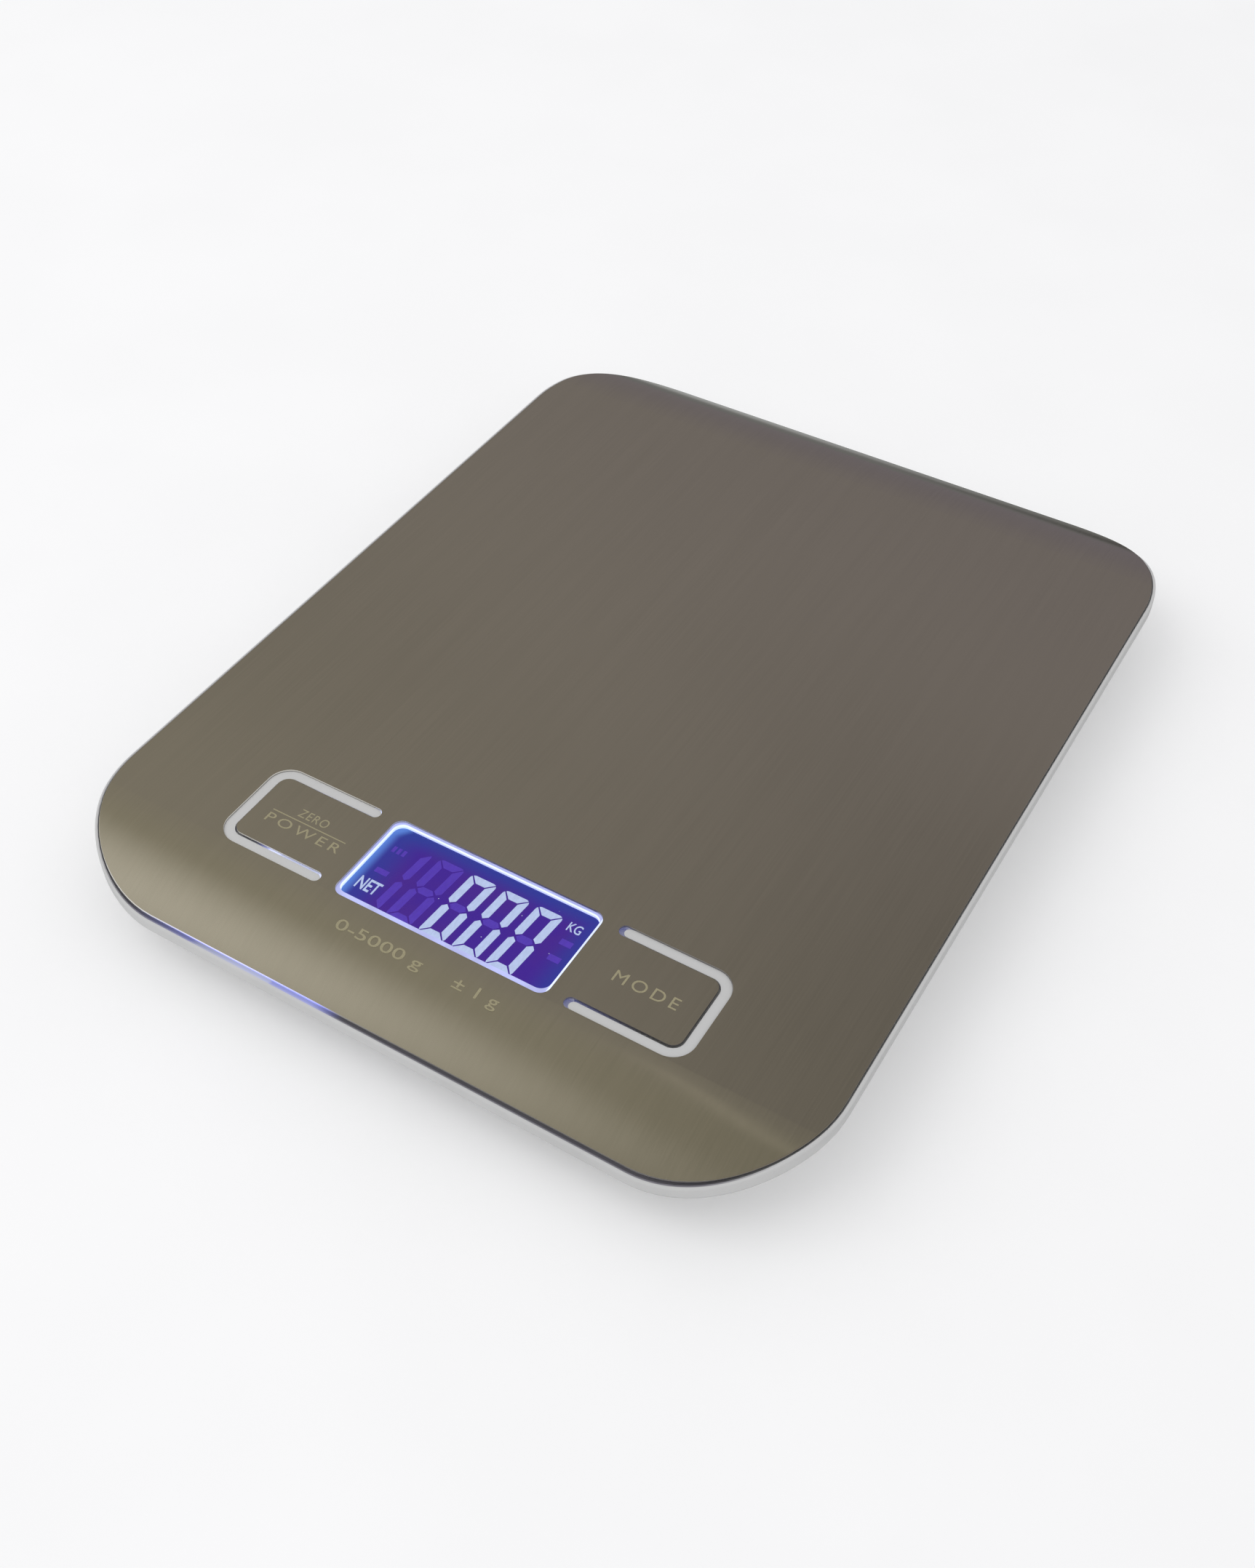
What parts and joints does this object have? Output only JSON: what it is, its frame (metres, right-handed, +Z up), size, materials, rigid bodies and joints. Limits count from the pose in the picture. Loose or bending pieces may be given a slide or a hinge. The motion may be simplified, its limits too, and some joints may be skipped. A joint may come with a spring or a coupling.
{
  "type": "digital gram scale",
  "caption": "Slim bench scale: brushed steel platform with curved ends, white plastic body, sprung steel touch keys and a blue backlit display over a bending-beam weighing cell.",
  "frame": {"origin": "on the table, under the middle of the weighing platform", "axes": "+Z up, +Y from the display end to the far end, +X to the user's right"},
  "size_m": [0.14, 0.18, 0.016],
  "materials": {
    "stainless_sheet": "fine brushed stainless sheet",
    "white_plastic": "white moulded plastic, faint satin",
    "adhesive_film": "double-sided film",
    "clear_acrylic": "clear",
    "lit_frame": "translucent white, lit from behind",
    "lcd": "blue backlit display cell",
    "led_resin": "lamp resin",
    "grey_elastomer": "conductive rubber strip",
    "green_board": "solder resist",
    "black_resin": "black resin",
    "component_ceramic": "small parts",
    "switch_stem": "black stem",
    "zinc_screw": "zinc-plated steel",
    "galvanised_plate": "galvanised sheet",
    "beam_aluminium": "milled aluminium",
    "gauge_foil": "foil on film",
    "white_silicone": "silicone coat",
    "foot_rubber": "grey rubber",
    "battery_jacket": "printed jacket with no text",
    "nickel_plate": "nickel-plated",
    "wire_red": "wire sleeve",
    "wire_white": "wire sleeve"
  },
  "bodies": {
    "base": {"base_tray": "white_plastic", "load_cell": "beam_aluminium", "strain_gauges": "gauge_foil", "gauge_coating": "white_silicone", "dead_end_spacer": "galvanised_plate", "dead_end_screws": "zinc_screw", "overload_stop": "zinc_screw", "rubber_feet": "foot_rubber", "battery_cells": "battery_jacket", "battery_contacts": "nickel_plate", "battery_springs": "nickel_plate", "battery_wires": "wire_red", "load_cell_wires": "wire_white"},
    "platform": {"platform_sheet": "stainless_sheet", "upper_housing": "white_plastic", "adhesive_pads": "adhesive_film", "display_window": "clear_acrylic", "display_frame": "lit_frame", "lcd_panel": "lcd", "backlight_guide": "clear_acrylic", "backlight_leds": "led_resin", "elastomer_connectors": "grey_elastomer", "circuit_board": "green_board", "chip_cover": "black_resin", "board_parts": "component_ceramic", "switch_bodies": "black_resin", "board_screws": "zinc_screw", "load_bracket": "galvanised_plate", "bracket_screws": "zinc_screw", "live_end_spacer": "galvanised_plate", "live_end_screws": "zinc_screw"},
    "power_key": {"power_key": "stainless_sheet", "power_key_plunger": "white_plastic"},
    "unit_key": {"unit_key": "stainless_sheet", "unit_key_plunger": "white_plastic"},
    "power_switch": {"power_switch_stem": "switch_stem"},
    "unit_switch": {"unit_switch_stem": "switch_stem"},
    "battery_door": {"battery_door": "white_plastic"}
  },
  "joints": [
    {"name": "platform_load", "type": "slide", "parent": "base", "child": "platform", "axis": [0, 0, 1], "range_m": [-0.0004, 0], "deforming": ["load_cell", "battery_wires", "load_cell_wires"]},
    {"name": "power_key_press", "type": "hinge", "parent": "platform", "child": "power_key", "pos_m": [-0.0248, -0.0631, 0.0156], "axis": [0, -1, 0], "range_deg": [0, 1.4]},
    {"name": "unit_key_press", "type": "hinge", "parent": "platform", "child": "unit_key", "pos_m": [0.0248, -0.0631, 0.0156], "axis": [0, 1, 0], "range_deg": [0, 1.4]},
    {"name": "power_switch_travel", "type": "slide", "parent": "platform", "child": "power_switch", "axis": [0, 0, 1], "range_m": [-0.00026, 0]},
    {"name": "unit_switch_travel", "type": "slide", "parent": "platform", "child": "unit_switch", "axis": [0, 0, 1], "range_m": [-0.00026, 0]},
    {"name": "battery_door_hinge", "type": "hinge", "parent": "base", "child": "battery_door", "pos_m": [0, 0.06955, 0.0017], "axis": [1, 0, 0], "range_deg": [0, 75]}
  ],
  "couplings": [
    {"joint": "power_switch_travel", "follows": "power_key_press", "m_per_rad": -0.0102},
    {"joint": "unit_switch_travel", "follows": "unit_key_press", "m_per_rad": -0.0102}
  ]
}
